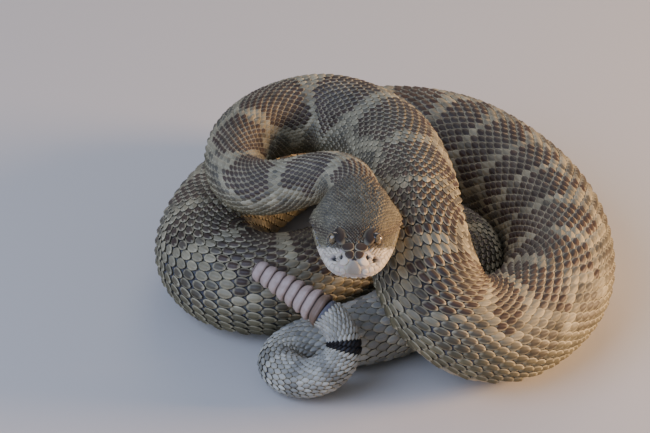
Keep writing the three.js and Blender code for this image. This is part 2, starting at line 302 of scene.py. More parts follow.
def tail_marks(at):
    """Share of the tail's pale grey, and of its black ring and dim bands."""
    pale = ease(at, TAIL_FROM, TAIL_FROM + 30 * MM)
    first, last = BLACK_RING
    ring = ease(at, first - MM, first) * (1 - ease(at, last, last + MM))
    bands = 0.35 * ease(np.sin(at * 2 * np.pi / TAIL_BAND_PITCH), 0.2, 0.7) * pale * (at < first)
    return pale, np.maximum(ring, bands)


def head_marks(at, angle):
    """Cream of the snout and lips, and brown of the brow and eye stripe, on the head."""
    at_mm = at / MM
    reach = reach_at(at, angle) / MM
    height = reach * np.cos(angle)
    across = np.abs(reach * np.sin(angle))
    top = np.interp(at_mm, HEAD_SECTIONS[:, 0], HEAD_SECTIONS[:, 2])
    on_head = 1 - ease(at_mm, 42, 52)
    crown = 1 - ease(top - height, 1.6, 2.8)
    ripple = 0.5 * np.sin(1.9 * at_mm + 3 * angle)
    cream = ease(8.6 - 0.66 * at_mm - height + ripple, -0.7, 0.7)
    wedge = (1 - ease(across - 1.0 - 0.9 * at_mm, -0.5, 0.6)) * crown
    cream = cream * (1 - wedge)
    cream = np.maximum(cream, (1 - ease(height, -5.4, -3.6)) * 0.9) * on_head
    brow = crown * (1 - ease(at_mm, 13, 22))
    stripe = np.exp(-(((height - (5.0 - 0.30 * (at_mm - 12.5))) / 1.9) ** 2)) * ease(at_mm, 10, 13)
    stripe = stripe * (1 - ease(at_mm, 33, 42))
    neck_marks = 0.55 * np.exp(-(((across - 6.5) / 2.2) ** 2)) * ease(at_mm, 30, 36) * crown
    brown = np.maximum(np.maximum(brow, stripe * 0.85), neck_marks)
    return cream, np.clip(brown, 0, 1) * on_head * (1 - cream)


def add_marks(mesh, at, angle, tone, browned=0.0, black_and_shade=0.0, creamed=0.0):
    """Stores the shares of each colour on a mesh's vertices, for its material to read."""
    blotch, border, flank = markings(at, angle)
    pale, ring = tail_marks(at)
    cream, brown = head_marks(at, angle)
    cream = np.maximum(cream * (1 - browned), creamed)
    brown = np.maximum(brown, browned) * (1 - creamed)
    # the black share holds the tail's black ring and, as painted shade, the insides of the nostrils and heat
    # pits
    ring = np.maximum(ring, black_and_shade)
    layers = {"body": (blotch, border, flank), "ends": (cream, brown, pale), "tint": (ring, tone)}
    for name, shares in layers.items():
        layer = mesh.attributes.new(name, "FLOAT_COLOR", "POINT")
        values = np.ones((len(mesh.vertices), 4), np.float32)
        for k, share in enumerate(shares):
            values[:, k] = share
        layer.data.foreach_set("color", values.ravel())


def linear(code):
    """An sRGB hex colour as linear light."""
    parts = [int(code[i:i + 2], 16) / 255 for i in (1, 3, 5)]
    return tuple(p / 12.92 if p <= 0.04045 else ((p + 0.055) / 1.055) ** 2.4 for p in parts) + (1,)


def add_node(tree, kind, settings=None, links=None):
    """Adds a node, with its settings and values and with what feeds each of its inputs."""
    node = tree.nodes.new(kind)
    for name, value in (settings or {}).items():
        if isinstance(name, int) or name in node.inputs:
            node.inputs[name].default_value = value
        else:
            setattr(node, name, value)
    for name, source in (links or {}).items():
        tree.links.new(source, node.inputs[name])
    return node


def ramp(tree, value, low, high, bottom=0.0, top=1.0):
    """A share that goes from bottom to top while the value goes from low to high."""
    settings = {"From Min": low, "From Max": high, "To Min": bottom, "To Max": top}
    return add_node(tree, "ShaderNodeMapRange", settings, {"Value": value}).outputs[0]


def noise(tree, place, size, detail, output=0):
    """Cloudy noise with grain of about the given size."""
    settings = {"Scale": 1 / size, "Detail": detail}
    return add_node(tree, "ShaderNodeTexNoise", settings, {"Vector": place}).outputs[output]


def math_of(tree, operation, a, b):
    """One sum of a and b; each is a number or an output."""
    node = add_node(tree, "ShaderNodeMath", {"operation": operation})
    for socket, value in ((node.inputs[0], a), (node.inputs[1], b)):
        if isinstance(value, (float, int)):
            socket.default_value = value
        else:
            tree.links.new(value, socket)
    return node.outputs[0]


def add_bump(tree, shader, height, strength, depth):
    """Fine relief, of a strength and a depth, on the shader."""
    bump = add_node(tree, "ShaderNodeBump", {"Strength": strength, "Distance": depth}, {"Height": height})
    tree.links.new(bump.outputs["Normal"], shader.inputs["Normal"])


def new_material(name):
    """A new material, with its node tree and its shader."""
    material = bpy.data.materials.new(name)
    material.use_nodes = True
    tree = material.node_tree
    return material, tree, tree.nodes["Principled BSDF"]


def mixed(tree, share, a, b, blend="MIX"):
    """The colour a turned into b by a share; each is a colour or an output."""
    node = tree.nodes.new("ShaderNodeMix")
    node.data_type = "RGBA"
    node.blend_type = blend
    for socket, value in ((node.inputs[0], share), (node.inputs[6], a), (node.inputs[7], b)):
        if isinstance(value, (tuple, float, int)):
            socket.default_value = value
        else:
            tree.links.new(value, socket)
    return node.outputs[2]


def marked_colour(tree, colours):
    """The snake's colour from the shares on the mesh, in a set of colours, with three shares."""
    split = {}
    for name in ("body", "ends", "tint"):
        shares = add_node(tree, "ShaderNodeAttribute", {"attribute_name": name}).outputs["Color"]
        split[name] = add_node(tree, "ShaderNodeSeparateColor", links={"Color": shares}).outputs
    colour = mixed(tree, split["body"][2], linear(colours["back"]), linear(colours["flank"]))
    colour = mixed(tree, split["body"][0], colour, linear(colours["blotch"]))
    colour = mixed(tree, split["body"][1], colour, linear(colours["border"]))
    colour = mixed(tree, split["ends"][2], colour, linear(colours["tail"]))
    colour = mixed(tree, split["ends"][1], colour, linear(colours["brow"]))
    colour = mixed(tree, split["ends"][0], colour, linear(colours["cream"]))
    return colour, split["ends"][0], split["tint"][0], split["tint"][1]


# Skin
# Thin grey skin that shows between the scales where the body bends. It lies inside the solids
# by the depth of the scales, in one piece from the lips to the rattle, pressed flat on the floor.
COAT_DEPTH = 0.9 * MM
SKIN_SIDES_UPPER = 52
SKIN_SIDES_LOWER = 23
GROOVE = np.array([-0.6, -0.25, 0, 0.25, 0.6])
GROOVE_DEPTH = np.array([0, 0.5, 1.3, 0.5, 0])
EYE_AT = {"back": 12.5 * MM, "up": 5.2 * MM, "sunk": 0.9 * MM}
EYE_RADIUS = 2.7 * MM
NOSTRIL_AT = {"back": 2.6 * MM, "up": 3.4 * MM, "radius": 1.15 * MM, "depth": 1.8 * MM}
PIT_AT = {"back": 4.2 * MM, "up": 0.4 * MM, "radius": 1.9 * MM, "depth": 2.8 * MM}
SKIN_COLOURS = {
    "back": "#494a52", "flank": "#5d6068", "blotch": "#332e31", "border": "#62605c", "tail": "#62626a",
    "brow": "#33291f", "cream": "#b5aa9c", "black": "#100f12",
}


def side_angle(at, up):
    """The angle at which the form's side is at a height over the backbone."""
    want = np.linspace(0.02, np.pi - 0.02, 400)
    heights = reach_at(np.full(400, at), want) * np.cos(want)
    return float(np.interp(-up, -heights, want))


def face_spots():
    """Centres of the eyes, and of the nostrils and heat pits on the form, on both sides."""
    spots = {"eye": [], "nostril": [], "pit": []}
    for hand in (1, -1):
        for name, place in (("nostril", NOSTRIL_AT), ("pit", PIT_AT)):
            angle = side_angle(place["back"], place["up"]) * hand
            spots[name].append(on_form(np.array([place["back"]]), np.array([angle]))[0][0])
        angle = side_angle(EYE_AT["back"], EYE_AT["up"])
        origin, _, back, side = (v[0] for v in frame_at(np.array([EYE_AT["back"]])))
        across = float(reach_at(EYE_AT["back"], angle)) * math.sin(angle) - EYE_AT["sunk"]
        spots["eye"].append(origin + side * across * hand + back * EYE_AT["up"])
    return spots


FACE = face_spots()


def face_press(points, out, inset):
    """Sinks nostrils and heat pits into points of the face, and clears the eyes. Also gives the share of
    painted shade that darkens the inside of each nostril and pit.
    """
    moved = points.copy()
    dark = np.zeros(points.shape[:-1])
    for name, place in (("nostril", NOSTRIL_AT), ("pit", PIT_AT)):
        for centre in FACE[name]:
            gap = np.linalg.norm(points + out * inset - centre, axis=-1)
            share = np.clip(1 - (gap / place["radius"]) ** 2, 0, 1)
            moved -= out * (share ** 0.6 * place["depth"])[..., None]
            # painted shade: the inside of each nostril and heat pit is darkened towards black
            dark = np.maximum(dark, ease(share, 0.0, 0.14))
    for centre in FACE["eye"]:
        gap = np.linalg.norm(points - centre, axis=-1)
        moved -= out * np.clip(EYE_RADIUS + 0.4 * MM - gap, 0, 1)[..., None] * 1.4
    return moved, dark


def tube_faces(rings, sides):
    """Faces of a closed tube of rings, with a flat cap at each end."""
    r, k = np.meshgrid(np.arange(rings - 1), np.arange(sides), indexing="ij")
    a = r * sides + k
    b = r * sides + (k + 1) % sides
    quads = np.stack([a, b, b + sides, a + sides], axis=-1).reshape(-1, 4).tolist()
    return quads + [list(range(sides))[::-1], [(rings - 1) * sides + i for i in range(sides)]]


def new_piece(name, verts, faces):
    """A smooth mesh at the origin, in the scene."""
    mesh = bpy.data.meshes.new(name)
    mesh.from_pydata(verts, [], faces)
    mesh.shade_smooth()
    piece = bpy.data.objects.new(name, mesh)
    bpy.context.scene.collection.objects.link(piece)
    return piece


def make_skin():
    """The skin as one tube, with the line of the mouth sunk in and the face's pits pressed."""
    head = np.concatenate([[-0.9, -0.7, -0.4], np.arange(0, 50, 0.5)])
    body = np.arange(50, TAIL_END / MM, 2.6)
    stations = np.concatenate([head, body, [TAIL_END / MM]]) * MM
    mouth = mouth_angle(stations)
    radius = reach_at(stations, mouth)
    groove = GROOVE[None, :] * MM / radius[:, None]
    upper = np.linspace(0, 1, SKIN_SIDES_UPPER, endpoint=False)[None, :] * (mouth + groove[:, 0])[:, None]
    lower = (mouth + groove[:, -1])[:, None]
    lower = lower + (np.pi - lower) * np.linspace(0, 1, SKIN_SIDES_LOWER + 1)[None, 1:]
    half = np.hstack([upper, mouth[:, None] + groove, lower])
    angle = np.hstack([half, 2 * np.pi - half[:, -2:0:-1]])
    depth = np.zeros_like(half)
    depth[:, SKIN_SIDES_UPPER:SKIN_SIDES_UPPER + 5] = GROOVE_DEPTH
    depth = np.hstack([depth, depth[:, -2:0:-1]]) * MM
    closed = 1 - ease(stations, (MOUTH_LENGTH - 2) * MM, MOUTH_LENGTH * MM)
    at = np.repeat(stations[:, None], angle.shape[1], axis=1)
    face = 1 - ease(stations, 30 * MM, 46 * MM)
    inset = COAT_DEPTH * (1 - 0.55 * face[:, None])
    points, out = on_form(at, angle, -inset - depth * closed[:, None])
    near = slice(0, len(head))
    dark = np.zeros(at.shape)
    points[near], dark[near] = face_press(points[near], out[near], COAT_DEPTH * 0.45)
    skin = new_piece("skin", points.reshape(-1, 3).tolist(), tube_faces(*angle.shape))
    # the dark share of the face is painted shade in the nostrils and heat pits, stored with the tail's black
    # ring
    add_marks(skin.data, at.ravel(), angle.ravel(), np.full(at.size, 0.5), black_and_shade=dark.ravel())
    return skin


def skin_material():
    """Soft skin between scales: dull, finely creased, darker than the scales over it."""
    material, tree, shader = new_material("soft_snake_skin")
    colour, _, black, _ = marked_colour(tree, SKIN_COLOURS)
    # the black share darkens the tail's ring and, as painted shade, the nostrils and heat pits
    colour = mixed(tree, black, colour, linear(SKIN_COLOURS["black"]))
    place = add_node(tree, "ShaderNodeTexCoord").outputs["Object"]
    colour = mixed(tree, 0.35, colour, noise(tree, place, 1.2 * MM, 4, "Color"), "SOFT_LIGHT")
    tree.links.new(colour, shader.inputs["Base Color"])
    crease = add_node(tree, "ShaderNodeTexVoronoi", {"Scale": 1 / (0.5 * MM)}, {"Vector": place})
    add_bump(tree, shader, crease.outputs["Distance"], 0.5, 0.1 * MM)
    shader.inputs["Roughness"].default_value = 0.7
    return material


skin = make_skin()
skin.data.materials.append(skin_material())
FLESH = [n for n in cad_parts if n.startswith(("head", "lower_jaw", "neck", "body_", "tail_"))]
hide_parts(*FLESH)
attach(skin, "root")

# Body scales
# Keeled horny scales in staggered rows: 21 on the neck, 25 on the body and 17 on the tail. Each
# all but keeps its length, so they crowd inside a bend and part outside it, where skin shows.
ROWS = 25
NECK_ROWS = 21
NECK_ROWS_END = 152 * MM
TAIL_ROWS = 17
ROWS_CHANGE = 905 * MM
BELLY_HALF = 0.72
TAIL_BELLY_HALF = 0.5
PITCH_TO_SPACING = 1.65
SCALE_WIDTH = 1.04
SCALE_HEIGHT = 1.25 * MM
FULL_SIZE_FROM = 4.3 * MM
STIFFNESS = 0.78
SCALE_LENGTH = 0.88
SCALE_ACROSS = 6
SCALE_ALONG = 7
SCALE_COLOURS = {
    "back": "#595548", "flank": "#655e45", "blotch": "#43342a", "border": "#8f876e", "tail": "#a9a89f",
    "brow": "#3b2d22", "cream": "#d3c8b6", "black": "#0f0e11",
    # foot is the colour of the painted shade on each scale's outline and walls
    "rim": "#b3aa8c", "foot": "#1d1a17",
}
COAT_PARTS = {
    "coat_neck": (49, 150), "coat_arch": (150, 270), "coat_front": (270, 430), "coat_right": (430, 585),
    "coat_back": (585, 735), "coat_left": (735, 865), "coat_vent": (865, 950), "coat_tail": (950, 1060),
}


def scale_form(across_steps, along_steps):
    """One keeled scale: across from -1 to 1, along from 0 at the root to 1, and its height."""
    u = np.linspace(-1, 1, across_steps + 1)
    v = 0.5 - 0.5 * np.cos(np.pi * np.linspace(0, 1, along_steps + 1))
    across, along = np.meshgrid(u, v, indexing="ij")
    root_half = 1 - np.clip((0.46 - along) / 0.46, 0, 1) ** 2.6
    tip_half = 1 - np.clip((along - 0.46) / 0.54, 0, 1) ** 1.9
    outline = np.maximum(root_half ** 0.6 * tip_half ** 0.7, 0.13)
    slope = 0.06 + 0.68 * along
    swell = 0.3 * (1 - across ** 2) * (1 - (2 * along - 1) ** 4)
    keel = 0.55 * np.exp(-((across / 0.2) ** 2)) * ease(along, 0.02, 0.3) * (1 - 0.6 * ease(along, 0.85, 1))
    top = np.stack([across * outline, along, slope + swell + keel], axis=-1).reshape(-1, 3)
    index = np.arange(top.shape[0]).reshape(across_steps + 1, along_steps + 1)
    rim = np.concatenate([index[0, :-1], index[:-1, -1], index[-1, :0:-1], index[:0:-1, 0]])
    foot = top[rim] * (0.96, 1, 0) + (0, 0, -0.3)
    faces = []
    for i in range(across_steps):
        for j in range(along_steps):
            faces.append([index[i, j], index[i + 1, j], index[i + 1, j + 1], index[i, j + 1]])
    first = len(top)
    count = len(rim)
    for k in range(count):
        faces.append([rim[k], rim[(k + 1) % count], first + (k + 1) % count, first + k])
    faces.append([first + k for k in range(count)])
    flat_place = np.stack([across.ravel() / 2 + 0.5, along.ravel()], axis=-1)
    flat_place = np.vstack([flat_place, flat_place[rim]])
    return np.vstack([top, foot]), faces, flat_place


BODY_SCALE = scale_form(SCALE_ACROSS, SCALE_ALONG)


def add_places(mesh, flat_place, bake_root):
    """Each vertex's place on its own scale, and its scale's patch on the skin's unwrap."""
    corner = np.empty(len(mesh.loops), np.int32)
    mesh.loops.foreach_get("vertex_index", corner)
    own = mesh.uv_layers.new(name="ScalePlace")
    own.data.foreach_set("uv", flat_place[corner].astype(np.float32).ravel())
    bake = mesh.uv_layers.new(name="OFBake")
    spot = bake_root + (flat_place - 0.5) * 0.003
    bake.data.foreach_set("uv", spot[corner].astype(np.float32).ravel())


def bake_place(at, angle):
    """Where a root lies on an unwrap of the skin's own shape."""
    return np.stack([at / TAIL_END * 0.99, (angle / (2 * np.pi)) % 1 * 0.99], axis=-1)


def lay_scales(name, roots, form, sizes, heights, tone, material, lift):
    """Lays copies of one scale on the form as one mesh.

    Roots are distance and angle. Sizes are half the width and the length of each."""
    verts, faces, flat_place = form
    at0, angle0 = roots
    half, length = sizes
    probe = 0.5 * MM
    p0 = on_form(at0 + length / 2, angle0)[0]
    p1 = on_form(at0 + length / 2 + probe, angle0)[0]
    stretch = np.clip(np.linalg.norm(p1 - p0, axis=-1) / probe, 0.45, 1.8)
    length = length / stretch ** STIFFNESS
    at = at0[:, None] + verts[None, :, 1] * length[:, None]
    reach = reach_at(at0, angle0)
    angle = angle0[:, None] + verts[None, :, 0] * (half / reach)[:, None]
    height = verts[None, :, 2] * heights[:, None]
    crowd = 0.3 * (np.maximum(1 / stretch - 1, 0) * heights)[:, None] * np.clip(verts[None, :, 1], 0, 1)
    points = on_form(at, angle, lift + height + crowd)[0]
    count = len(verts)
    base = (np.arange(len(at0)) * count)[:, None]
    quads = np.array([f for f in faces if len(f) == 4])
    foot = np.array([f for f in faces if len(f) != 4][0])
    all_quads = (base[:, :, None] + quads[None]).reshape(-1, 4)
    all_feet = base + foot[None]
    piece = new_piece(name, points.reshape(-1, 3).tolist(), all_quads.tolist() + all_feet.tolist())
    mesh = piece.data
    centre_at = np.repeat(at0 + length * 0.45, count)
    add_marks(mesh, centre_at, np.repeat(angle0, count), np.repeat(tone, count))
    add_places(mesh, np.tile(flat_place, (len(at0), 1)), np.repeat(bake_place(at0, angle0), count, axis=0))
    walls = np.array([max(q) >= len(flat_place) - len(foot) for q in quads])
    flat = np.concatenate([np.tile(walls, len(at0)), np.ones(len(at0), bool)])
    mesh.polygons.foreach_set("use_smooth", ~flat)
    mesh.materials.append(material)
    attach(piece, "root")
    return piece


def scale_material():
    """Dry keratin: painted shade darkening the foot and outline, a pale worn rim round a darker middle, fine
    grain and low shine.
    """
    material, tree, shader = new_material("keeled_scale_keratin")
    colour, cream, black, tone = marked_colour(tree, SCALE_COLOURS)
    own = add_node(tree, "ShaderNodeUVMap", {"uv_map": "ScalePlace"}).outputs["UV"]
    doubled = {"operation": "MULTIPLY_ADD", 1: (2, 2, 0), 2: (-1, -1, 0)}
    middle = add_node(tree, "ShaderNodeVectorMath", doubled, {0: own})
    far = add_node(tree, "ShaderNodeVectorMath", {"operation": "ABSOLUTE"}, {0: middle.outputs[0]})
    split = add_node(tree, "ShaderNodeSeparateXYZ", links={"Vector": far.outputs[0]})
    edge = math_of(tree, "MAXIMUM", split.outputs["X"], split.outputs["Y"])
    colour = mixed(tree, ramp(tree, edge, 0.55, 0.86, top=0.74), colour, linear(SCALE_COLOURS["rim"]))
    colour = mixed(tree, black, colour, linear(SCALE_COLOURS["black"]))
    shade = ramp(tree, tone, 0, 1, 0.76, 1.24)
    place = add_node(tree, "ShaderNodeTexCoord").outputs["Object"]
    drift = ramp(tree, noise(tree, place, 9 * MM, 4), 0.25, 0.75, 0.72, 1.3)
    amount = math_of(tree, "MULTIPLY", shade, drift)
    grey = add_node(tree, "ShaderNodeCombineColor", links={k: amount for k in ("Red", "Green", "Blue")})
    colour = mixed(tree, 1.0, colour, grey.outputs[0], "MULTIPLY")
    # painted shade: each scale's outline and walls are darkened towards the foot colour where scales meet the
    # skin and each other, less on cream parts
    edge_shade_strength = ramp(tree, cream, 0, 1, 1.0, 0.28)
    foot = math_of(tree, "MULTIPLY", ramp(tree, edge, 0.93, 1, top=0.85), edge_shade_strength)
    colour = mixed(tree, foot, colour, linear(SCALE_COLOURS["foot"]))
    tree.links.new(colour, shader.inputs["Base Color"])
    fine = noise(tree, place, 0.35 * MM, 3)
    add_bump(tree, shader, fine, 0.35, 0.06 * MM)
    tree.links.new(ramp(tree, fine, 0, 1, 0.42, 0.66), shader.inputs["Roughness"])
    shader.inputs["Specular IOR Level"].default_value = 0.45
    return material


SCALE_SKIN = scale_material()


def body_roots(start, end, rows, belly):
    """Roots of staggered rows of scales from start to end, with their spacing there."""
    spacing_angle = (2 * np.pi - 2 * belly) / rows
    found = []
    at = start
    ring = 0
    while at < end:
        spacing = spacing_angle * girth(at)
        for row in range(rows - ring % 2):
            angle = (row - (rows - 1 - ring % 2) / 2) * spacing_angle
            found.append((at, angle, spacing))
        at += spacing * PITCH_TO_SPACING / 2
        ring += 1
    return np.array(found)


neck = body_roots(49 * MM, NECK_ROWS_END, NECK_ROWS, BELLY_HALF)
body = body_roots(NECK_ROWS_END + MM, ROWS_CHANGE, ROWS, BELLY_HALF)
tail = body_roots(ROWS_CHANGE + MM, TAIL_END - 2.5 * MM, TAIL_ROWS, TAIL_BELLY_HALF)
roots = np.vstack([neck, body, tail])
jitter = rng.uniform(-1, 1, (len(roots), 4))
for part, (low, high) in COAT_PARTS.items():
    mine = (roots[:, 0] >= low * MM) & (roots[:, 0] < high * MM)
    at0, angle0, spacing = roots[mine].T
    wob = jitter[mine].T
    at0 = at0 + wob[0] * spacing * 0.04
    angle0 = angle0 + wob[1] * 0.004
    half = spacing * SCALE_WIDTH / 2 * (1 + 0.04 * wob[2])
    length = spacing * PITCH_TO_SPACING * SCALE_LENGTH
    height = np.clip(spacing / FULL_SIZE_FROM, 0.55, 1) * SCALE_HEIGHT
    lay_scales(part, (at0, angle0), BODY_SCALE, (half, length), height, 0.5 + 0.5 * wob[3], SCALE_SKIN,
               lift=-COAT_DEPTH)

# Belly scutes
# One wide, smooth plate to each step of the belly, each lapping over the next towards the tail.
# They are pale cream, and what the snake slides on.
SCUTE_GRID_ACROSS = 18
SCUTE_GRID_ALONG = 3
SCUTE_PITCH = 5.2 * MM
SCUTE_PITCH_SHARES = ([0.06, 0.33, 0.93, 1.04], [0.6, 1, 0.75, 0.5])
SCUTE_FROM = 47 * MM
SCUTE_HEIGHT = 0.75 * MM


def make_scutes():
    """Thin closed plates over the belly, each bowed back at its middle."""
    starts = [SCUTE_FROM]
    while starts[-1] < TAIL_END - 6 * MM:
        starts.append(starts[-1] + SCUTE_PITCH * np.interp(starts[-1], *SCUTE_PITCH_SHARES))
    starts = np.array(starts)
    belly = np.where(starts < ROWS_CHANGE, BELLY_HALF, TAIL_BELLY_HALF) + 0.05
    u = np.linspace(-1, 1, SCUTE_GRID_ACROSS + 1)
    v = np.linspace(0, 1, SCUTE_GRID_ALONG + 1)
    across, along = np.meshgrid(u, v, indexing="ij")
    pitch = np.diff(starts, append=starts[-1] + 3 * MM)
    at = starts[:, None, None] + along * (pitch * 1.12)[:, None, None] - 0.9 * MM * across[None] ** 2
    angle = np.pi + across[None] * belly[:, None, None] + 0 * at
    top = (0.25 + 0.45 * along[None] - 0.2 * np.abs(across[None]) ** 6) * SCUTE_HEIGHT
    points = on_form(at, angle, -COAT_DEPTH + top)[0]
    foot = on_form(at, angle, np.full(at.shape, -COAT_DEPTH - 0.2 * MM))[0]
    count = across.size
    index = np.arange(count).reshape(across.shape)
    a, b, c, d = index[:-1, :-1], index[1:, :-1], index[1:, 1:], index[:-1, 1:]
    tops = np.stack([a, b, c, d], axis=-1).reshape(-1, 4)
    feet = tops[:, ::-1] + count
    rim = np.concatenate([index[0, :-1], index[:-1, -1], index[-1, :0:-1], index[:0:-1, 0]])
    nxt = np.roll(rim, -1)
    walls = np.stack([rim, nxt, nxt + count, rim + count], axis=-1)
    one = np.vstack([tops, feet, walls])
    verts = np.concatenate([points.reshape(len(starts), -1, 3), foot.reshape(len(starts), -1, 3)], axis=1)
    faces = (np.arange(len(starts)) * 2 * count)[:, None, None] + one[None]
    piece = new_piece("belly_scutes", verts.reshape(-1, 3).tolist(), faces.reshape(-1, 4).tolist())
    flat_place = np.column_stack([across.ravel() / 2 + 0.5, along.ravel()])
    roots = np.repeat(bake_place(starts, np.full(len(starts), np.pi)), 2 * count, axis=0)
    add_places(piece.data, np.tile(flat_place, (len(starts) * 2, 1)), roots)
    return piece


def scute_material():
    """Belly plates: cream keratin polished by sliding, clouded with grey."""
    material, tree, shader = new_material("belly_scute_keratin")
    place = add_node(tree, "ShaderNodeTexCoord").outputs["Object"]
    cloud = noise(tree, place, 5 * MM, 3)
    colour = mixed(tree, ramp(tree, cloud, 0.45, 0.75), linear("#b7ab8c"), linear("#857f70"))
    tree.links.new(colour, shader.inputs["Base Color"])
    tree.links.new(ramp(tree, cloud, 0, 1, 0.3, 0.5), shader.inputs["Roughness"])
    return material


scutes = make_scutes()
scutes.data.materials.append(scute_material())
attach(scutes, "root")

# Head plates
# The few large plates of a rattlesnake's head: brow plates over the eyes, two pairs on top of
# the snout, the rostral at its tip, plates by the nostrils, two rows of lip plates and a ring of
# beads round each eye. Each is a domed, closed plate laid on the skin.
PLATE_RINGS = ((0.0, 1.0), (0.35, 0.98), (0.62, 0.9), (0.8, 0.76), (0.92, 0.5), (0.98, 0.2), (1.0, -0.5))
PLATE_HEIGHT = 0.42 * MM
BROW_HEIGHT = 1.25 * MM
LIP_PATH = np.array([
    (0, 2.8), (0, 4.5), (0.2, 6.2), (1, 7.8), (2.5, 9.3), (5, 11.2), (8, 12.6), (12, 14), (16, 15.2),
    (20, 16.2), (25, 17.2), (30, 18),
])
LIP_PLATES = 13
ROSTRAL = [
    (0, -2.3, -2.9), (0, 2.3, -2.9), (0, 2.5, -0.5), (0, 1.5, 2.6), (0, 0, 3.7), (0, -1.5, 2.6),
    (0, -2.5, -0.5),
]
MENTAL = [(0.3, -1.9, -3.7), (0.8, 0, -5.9), (0.3, 1.9, -3.7)]
SNOUT_PLATES = (
    (1.0, [(0.3, 0.3, 4.3), (0.2, 2.3, 3.9), (1.6, 3.6, 4.4), (3.3, 3.7, 5.0), (3.6, 0.35, 5.6)]),
    (1.0, [(4.0, 0.35, 5.8), (3.7, 4.0, 5.1), (6.2, 5.4, 5.6), (7.6, 3.2, 6.5), (7.2, 0.5, 6.6)]),
    (0.0, [(0, 2.8, 1.3), (0, 2.0, 3.2), (0.8, 2.9, 4.1), (1.4, 4.6, 4.0), (1.4, 5.6, 1.6), (0.6, 5.3, 0.6)]),
    (0.0, [(3.2, 4.2, 4.9), (3.9, 6.6, 4.2), (4.2, 7.8, 2.4), (3.1, 7.3, 1.6), (3.1, 6.0, 3.9)]),
)
EYE_BEADS = 15
skin_tree = BVHTree.FromPolygons([v.co for v in skin.data.vertices], [p.vertices for p in skin.data.polygons])


def head_point(back_mm, across_mm, up_mm):
    """A point in the head's own measures: behind the snout, across to its left, and up."""
    origin, _, back, side = (v[0] for v in frame_at(np.array([back_mm * MM])))
    return origin + side * across_mm * MM + back * up_mm * MM


def oval(back_mm, across_mm, up_mm, half_back, half_across, turn=0.0, slope=0.0, count=24):
    """An oval outline on the head, turned about the upright and sloping up to the rear."""
    points = []
    for step in range(count):
        angle = 2 * math.pi * step / count
        b, x = half_back * math.cos(angle), half_across * math.sin(angle)
        b, x = b * math.cos(turn) - x * math.sin(turn), b * math.sin(turn) + x * math.cos(turn)
        points.append((back_mm + b, across_mm + x, up_mm + slope * b))
    return np.array(points)


def rounded(corners, passes=2):
    """An outline with its corners cut, so that a plate has soft corners."""
    points = np.array(corners, float)
    for _ in range(passes):
        after = np.roll(points, -1, axis=0)
        points = np.stack([points * 0.75 + after * 0.25, points * 0.25 + after * 0.75], axis=1).reshape(-1, 3)
    return points


class Plates:
    """Gathers domed plates laid on the head, to make them one mesh."""

    def __init__(self):
        self.verts, self.faces, self.places, self.marks, self.roots = [], [], [], [], []

    def add(self, outline, height, lean=(0, 0, 0), browned=0.0, black_and_shade=0.0, tone=0.5, creamed=0.0):
        centre = outline.mean(axis=0)
        count = len(outline)
        first = len(self.verts)
        for scale, share in PLATE_RINGS:
            for k, target in enumerate(centre + (outline - centre) * scale):
                if scale == 0 and k:
                    continue
                start = head_point(max(target[0], 6.0), 0, -0.5)
                way = head_point(*target) - start
                hit = skin_tree.ray_cast(Vector(start), Vector(way).normalized())[0]
                surface = np.array(hit if hit is not None else head_point(*target))
                away = way / np.linalg.norm(way)
                offset = away * height * share + np.array(lean) * MM * max(share, 0)
                self.verts.append(surface + offset)
                angle = 2 * math.pi * k / count
                reach = scale ** 2.5 / max(abs(math.cos(angle)), abs(math.sin(angle)))
                self.places.append((0.5 + reach * math.cos(angle) / 2, 0.5 + reach * math.sin(angle) / 2))
                self.marks.append((target[0], target[1], target[2], browned, tone, black_and_shade, creamed))
        ring = [first + 1 + r * count for r in range(len(PLATE_RINGS) - 1)]
        faces = [[ring[-1] + k for k in range(count)][::-1]]
        for k in range(count):
            after = (k + 1) % count
            faces.append([first, ring[0] + k, ring[0] + after])
            for low, high in zip(ring, ring[1:]):
                faces.append([low + k, high + k, high + after, low + after])
        corners = np.array(self.verts[first:]) - self.verts[first]
        fans = [(f[0] - first, b - first, c - first) for f in faces for b, c in zip(f[1:], f[2:])]
        a, b, c = (corners[list(k)] for k in zip(*fans))
        inside_out = (a * np.cross(b, c)).sum() < 0
        self.faces += [f[::-1] for f in faces] if inside_out else faces
        self.roots += [centre] * (len(self.verts) - first)


def mirrored(outline, hand):
    return outline * np.array([1, hand, 1])


def lip_plates(plates, low, high, narrow, hand, start):
    """A row of plates along the lip, between two heights over the line of the mouth."""
    path_at = distances(LIP_PATH)
    stops = np.linspace(start, path_at[-1], LIP_PLATES + 1)
    for near, far in zip(stops, stops[1:]):
        corners = []
        for stop, level in ((near + 0.05, low), (far - 0.05, low), (far - 0.05, high), (near + 0.05, high)):
            b = np.interp(stop, path_at, LIP_PATH[:, 0])
            x = np.interp(stop, path_at, LIP_PATH[:, 1]) * narrow
            line = np.interp(b, MOUTH_LINE[:, 0], MOUTH_LINE[:, 1])
            corners.append((b, x * hand, line + level))
        creamed = float(1 - ease(corners[0][0], 8, 13))
        tone = 0.5 + 0.2 * rng.uniform(-1, 1)
        plates.add(rounded(corners), PLATE_HEIGHT * 0.7, tone=tone, creamed=creamed)


